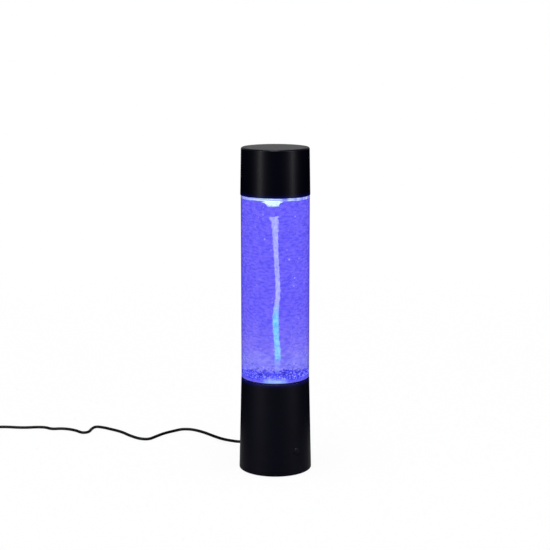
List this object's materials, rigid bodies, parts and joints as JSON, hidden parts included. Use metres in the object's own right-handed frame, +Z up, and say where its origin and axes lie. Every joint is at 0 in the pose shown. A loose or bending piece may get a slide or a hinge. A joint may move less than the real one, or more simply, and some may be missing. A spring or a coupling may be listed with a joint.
{
  "type": "water column lamp",
  "caption": "Table lamp with a lit, stirred column of water between a black base and cap; lift-off cap, push button and low-voltage cord.",
  "frame": {"origin": "centre of the lamp's footprint on the table, under its feet", "axes": "+Z up along the lamp, -Y towards the push button, +Y towards the cord's exit"},
  "size_m": [0.3117, 0.3682, 0.335],
  "materials": {
    "black_housing": "satin",
    "cover_black": "satin",
    "foot_rubber": "matte",
    "screw_steel": "satin",
    "clear_acrylic": "gloss",
    "floor_acrylic": "gloss",
    "lit_water": "gloss",
    "impeller_white": "gloss",
    "magnet_nickel": "satin",
    "steel": "polished",
    "motor_zinc": "satin",
    "brass_bush": "satin",
    "motor_plastic": "satin",
    "bracket_plastic": "satin",
    "ferrite": "matte",
    "copper_wound": "satin",
    "lid_plastic": "gloss",
    "seal_silicone": "matte",
    "stopper_silicone": "matte",
    "board_laminate": "satin",
    "ring_laminate": "satin",
    "lamp_resin": "gloss",
    "socket_nylon": "satin",
    "component_black": "satin",
    "switch_plastic": "satin",
    "plunger_plastic": "satin",
    "button_black": "satin",
    "cord_pvc": "satin",
    "wire_pvc": "satin",
    "plug_pvc": "satin",
    "plug_steel": "satin",
    "tongue_plastic": "satin",
    "contact_gold": "polished"
  },
  "bodies": {
    "lamp_body": {"base_housing": "black_housing", "bottom_cover": "cover_black", "rubber_feet": "foot_rubber", "cover_screws": "screw_steel", "tank_tube": "clear_acrylic", "tank_floor": "floor_acrylic", "impeller_well": "floor_acrylic", "impeller_pin": "steel", "well_grille": "floor_acrylic", "water_fill": "lit_water", "tank_lid": "lid_plastic", "filler_neck": "lid_plastic", "lid_seal": "seal_silicone", "motor_bracket": "bracket_plastic", "bracket_screws": "screw_steel", "motor_can": "motor_zinc", "motor_bearing": "brass_bush", "motor_end_cap": "motor_plastic", "motor_terminals": "brass_bush", "motor_screws": "screw_steel", "stator_magnets": "ferrite", "lamp_board": "ring_laminate", "lamps": "lamp_resin", "lamp_board_screws": "screw_steel", "control_board": "board_laminate", "lead_sockets": "socket_nylon", "board_parts": "component_black", "board_screws": "screw_steel", "switch_body": "switch_plastic", "strain_relief": "cord_pvc", "supply_lead": "cord_pvc", "motor_leads": "wire_pvc", "lamp_leads": "wire_pvc", "power_cord": "cord_pvc", "cord_coil": "cord_pvc", "cord_tail": "cord_pvc", "plug_overmould": "plug_pvc", "plug_shell": "plug_steel", "plug_tongue": "tongue_plastic", "plug_contacts": "contact_gold"},
    "cap": {"top_cap": "black_housing"},
    "stopper": {"filler_stopper": "stopper_silicone"},
    "button": {"power_button": "button_black", "switch_plunger": "plunger_plastic"},
    "impeller": {"impeller": "impeller_white", "impeller_magnets": "magnet_nickel"},
    "rotor": {"motor_shaft": "steel", "armature": "copper_wound", "magnet_carrier": "motor_plastic", "drive_magnets": "magnet_nickel"}
  },
  "joints": [
    {"name": "cap_lift", "type": "slide", "parent": "lamp_body", "child": "cap", "axis": [0, 0, 1], "range_m": [0, 0.06]},
    {"name": "stopper_pull", "type": "slide", "parent": "lamp_body", "child": "stopper", "axis": [0, 0, 1], "range_m": [0, 0.016]},
    {"name": "button_press", "type": "slide", "parent": "lamp_body", "child": "button", "axis": [0, 1, 0], "range_m": [0, 0.0012], "stiffness_N_per_m": 400, "springref_m": -0.0005},
    {"name": "rotor_spin", "type": "hinge", "parent": "lamp_body", "child": "rotor", "pos_m": [0, 0, 0.0685], "axis": [0, 0, 1], "continuous": true},
    {"name": "impeller_spin", "type": "hinge", "parent": "lamp_body", "child": "impeller", "pos_m": [0, 0, 0.0955], "axis": [0, 0, 1], "continuous": true}
  ],
  "couplings": [
    {"joint": "impeller_spin", "follows": "rotor_spin", "ratio": 1}
  ]
}
